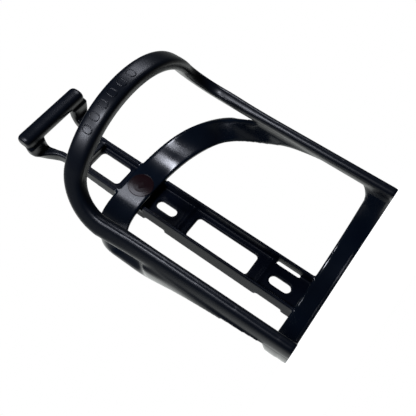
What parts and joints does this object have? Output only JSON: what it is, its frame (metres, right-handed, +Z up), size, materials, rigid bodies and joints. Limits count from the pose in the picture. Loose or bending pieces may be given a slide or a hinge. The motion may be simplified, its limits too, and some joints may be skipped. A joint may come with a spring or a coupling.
{
  "type": "bicycle water bottle cage",
  "caption": "Moulded plastic bottle cage: a slotted back channel, base strap and front hoop hold the bottle, and a sprung top hook catches its neck groove.",
  "frame": {"origin": "midway between the two bolt slots, on the plane of the bolt plates' rear faces", "axes": "+Z up along the bottle's axis, from the base strap to the hook; +Y out of the back, towards the bicycle frame; +X to the cage's right as seen from the front of the hoop"},
  "size_m": [0.0858, 0.0846, 0.159],
  "materials": {
    "satin_resin": "satin black moulded plastic with a faint blue cast",
    "polished_resin": "smoother, semi-gloss black moulded plastic",
    "badge": "glossy black disc"
  },
  "bodies": {
    "cage": {"hoop_crown": "satin_resin", "hoop_shoulder_left": "satin_resin", "hoop_shoulder_right": "satin_resin", "side_arm_left": "satin_resin", "side_arm_right": "satin_resin", "side_web_left": "satin_resin", "side_web_right": "satin_resin", "back_band_left": "polished_resin", "back_band_right": "polished_resin", "band_saddle": "polished_resin", "band_badge": "badge", "spine_rail_left": "satin_resin", "spine_rail_right": "satin_resin", "window_strip_left": "satin_resin", "window_strip_right": "satin_resin", "lower_bolt_plate": "satin_resin", "upper_bolt_plate": "satin_resin", "lower_window_sill": "satin_resin", "upper_window_sill": "satin_resin", "base_strap_left": "polished_resin", "base_strap_right": "polished_resin", "base_strap_centre": "polished_resin", "bottle_ledge": "satin_resin"},
    "hook": {"hook_root_bar": "satin_resin", "hook_rail_left": "satin_resin", "hook_rail_right": "satin_resin", "hook_strip_left": "satin_resin", "hook_strip_right": "satin_resin", "hook_throat_bar": "satin_resin", "hook_leg_left": "satin_resin", "hook_leg_right": "satin_resin", "hook_crossbar": "satin_resin"}
  },
  "joints": [
    {"name": "hook_flex", "type": "hinge", "parent": "cage", "child": "hook", "pos_m": [0, -0.0018, 0.0554], "axis": [-1, 0, 0], "range_deg": [0, 9], "stiffness_Nm_per_rad": 3}
  ]
}
